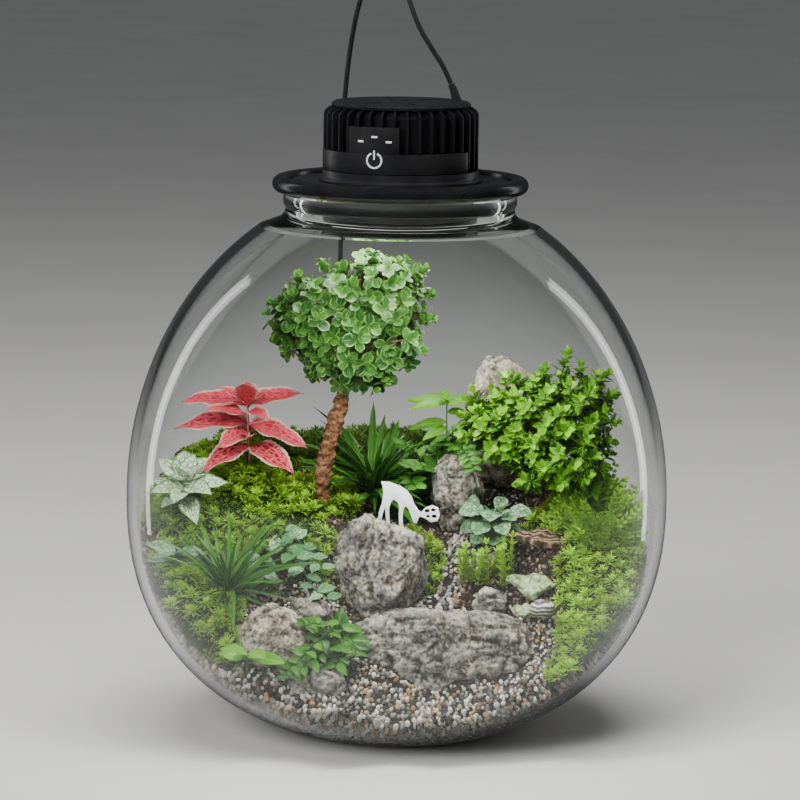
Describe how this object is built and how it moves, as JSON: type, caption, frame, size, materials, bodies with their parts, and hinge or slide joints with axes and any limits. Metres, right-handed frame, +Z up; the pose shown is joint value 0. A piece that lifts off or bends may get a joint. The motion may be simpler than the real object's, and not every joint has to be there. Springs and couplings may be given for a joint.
{
  "type": "glass plant terrarium",
  "caption": "Round glass jar planted with moss, rocks, gravel, small plants and a flat white deer, under a black ribbed plant lamp with a free cord.",
  "frame": {"origin": "middle of the jar's flat foot, on the surface it stands on", "axes": "+Z up through the jar and the lamp, -Y to the front, where the lamp's panel and the planted slope look, +X to the viewer's right"},
  "size_m": [0.32, 0.32, 0.45],
  "materials": {
    "jar_glass": "gloss",
    "black_plastic": "satin",
    "black_aluminium": "satin",
    "black_rubber": "satin",
    "grey_print": "satin",
    "lens": "satin",
    "circuit_board": "satin",
    "bare_aluminium": "satin",
    "plug_metal": "polished",
    "soil": "matte",
    "gravel": "matte",
    "grey_stone": "matte",
    "pale_stone": "matte",
    "white_plastic": "satin",
    "bark": "matte",
    "trunk": "matte",
    "lichen": "matte",
    "dark_moss": "matte",
    "bright_moss": "matte",
    "fig_leaf": "satin",
    "pink_leaf": "satin",
    "white_leaf": "satin",
    "dark_leaf": "satin",
    "mid_leaf": "satin",
    "bright_leaf": "satin",
    "silver_leaf": "satin"
  },
  "bodies": {
    "root": {"glass_jar": "jar_glass", "lid_ring": "black_rubber", "lid_plate": "black_plastic", "lamp_flange": "black_plastic", "lamp_skirt": "black_plastic", "lens_bezel": "black_plastic", "lamp_lens": "lens", "led_board": "circuit_board", "heat_column": "bare_aluminium", "lamp_heatsink": "black_aluminium", "control_panel": "black_plastic", "power_ring": "grey_print", "power_bar": "grey_print", "level_mark_1": "grey_print", "level_mark_2": "grey_print", "level_mark_3": "grey_print", "lamp_top_cover": "black_plastic", "cable_gland": "black_rubber", "cord_run": "black_rubber", "cord_coil": "black_rubber", "cord_tie": "black_plastic", "plug_body": "black_plastic", "plug_barrel": "plug_metal", "soil_mound": "soil", "gravel_bed": "gravel", "rock_under_deer": "grey_stone", "rock_front": "grey_stone", "rock_pale": "pale_stone", "rock_low": "grey_stone", "rock_behind_pale": "grey_stone", "rock_peak": "grey_stone", "rock_middle": "grey_stone", "rock_by_path": "grey_stone", "striped_pebble": "grey_stone", "white_deer": "white_plastic", "moss_left_bank": "dark_moss", "moss_left_low": "bright_moss", "moss_right_slope": "bright_moss", "moss_back": "dark_moss", "moss_by_deer": "bright_moss", "gravel_path": "gravel", "bark_chip": "bark", "lichen_plate_1": "lichen", "lichen_plate_2": "lichen", "ficus_trunk": "trunk", "ficus_crown": "fig_leaf", "red_fittonia": "pink_leaf", "white_fittonia": "white_leaf", "grass_tuft": "mid_leaf", "spotted_creeper": "mid_leaf", "trailing_creeper": "dark_leaf", "front_leaves": "bright_leaf", "pale_leaves": "silver_leaf", "bush_right": "dark_leaf", "vine_leaves": "mid_leaf", "silver_plant": "silver_leaf", "selaginella": "mid_leaf", "back_fern": "mid_leaf", "seedling": "bright_leaf", "upright_moss": "bright_moss"}
  },
  "joints": []
}
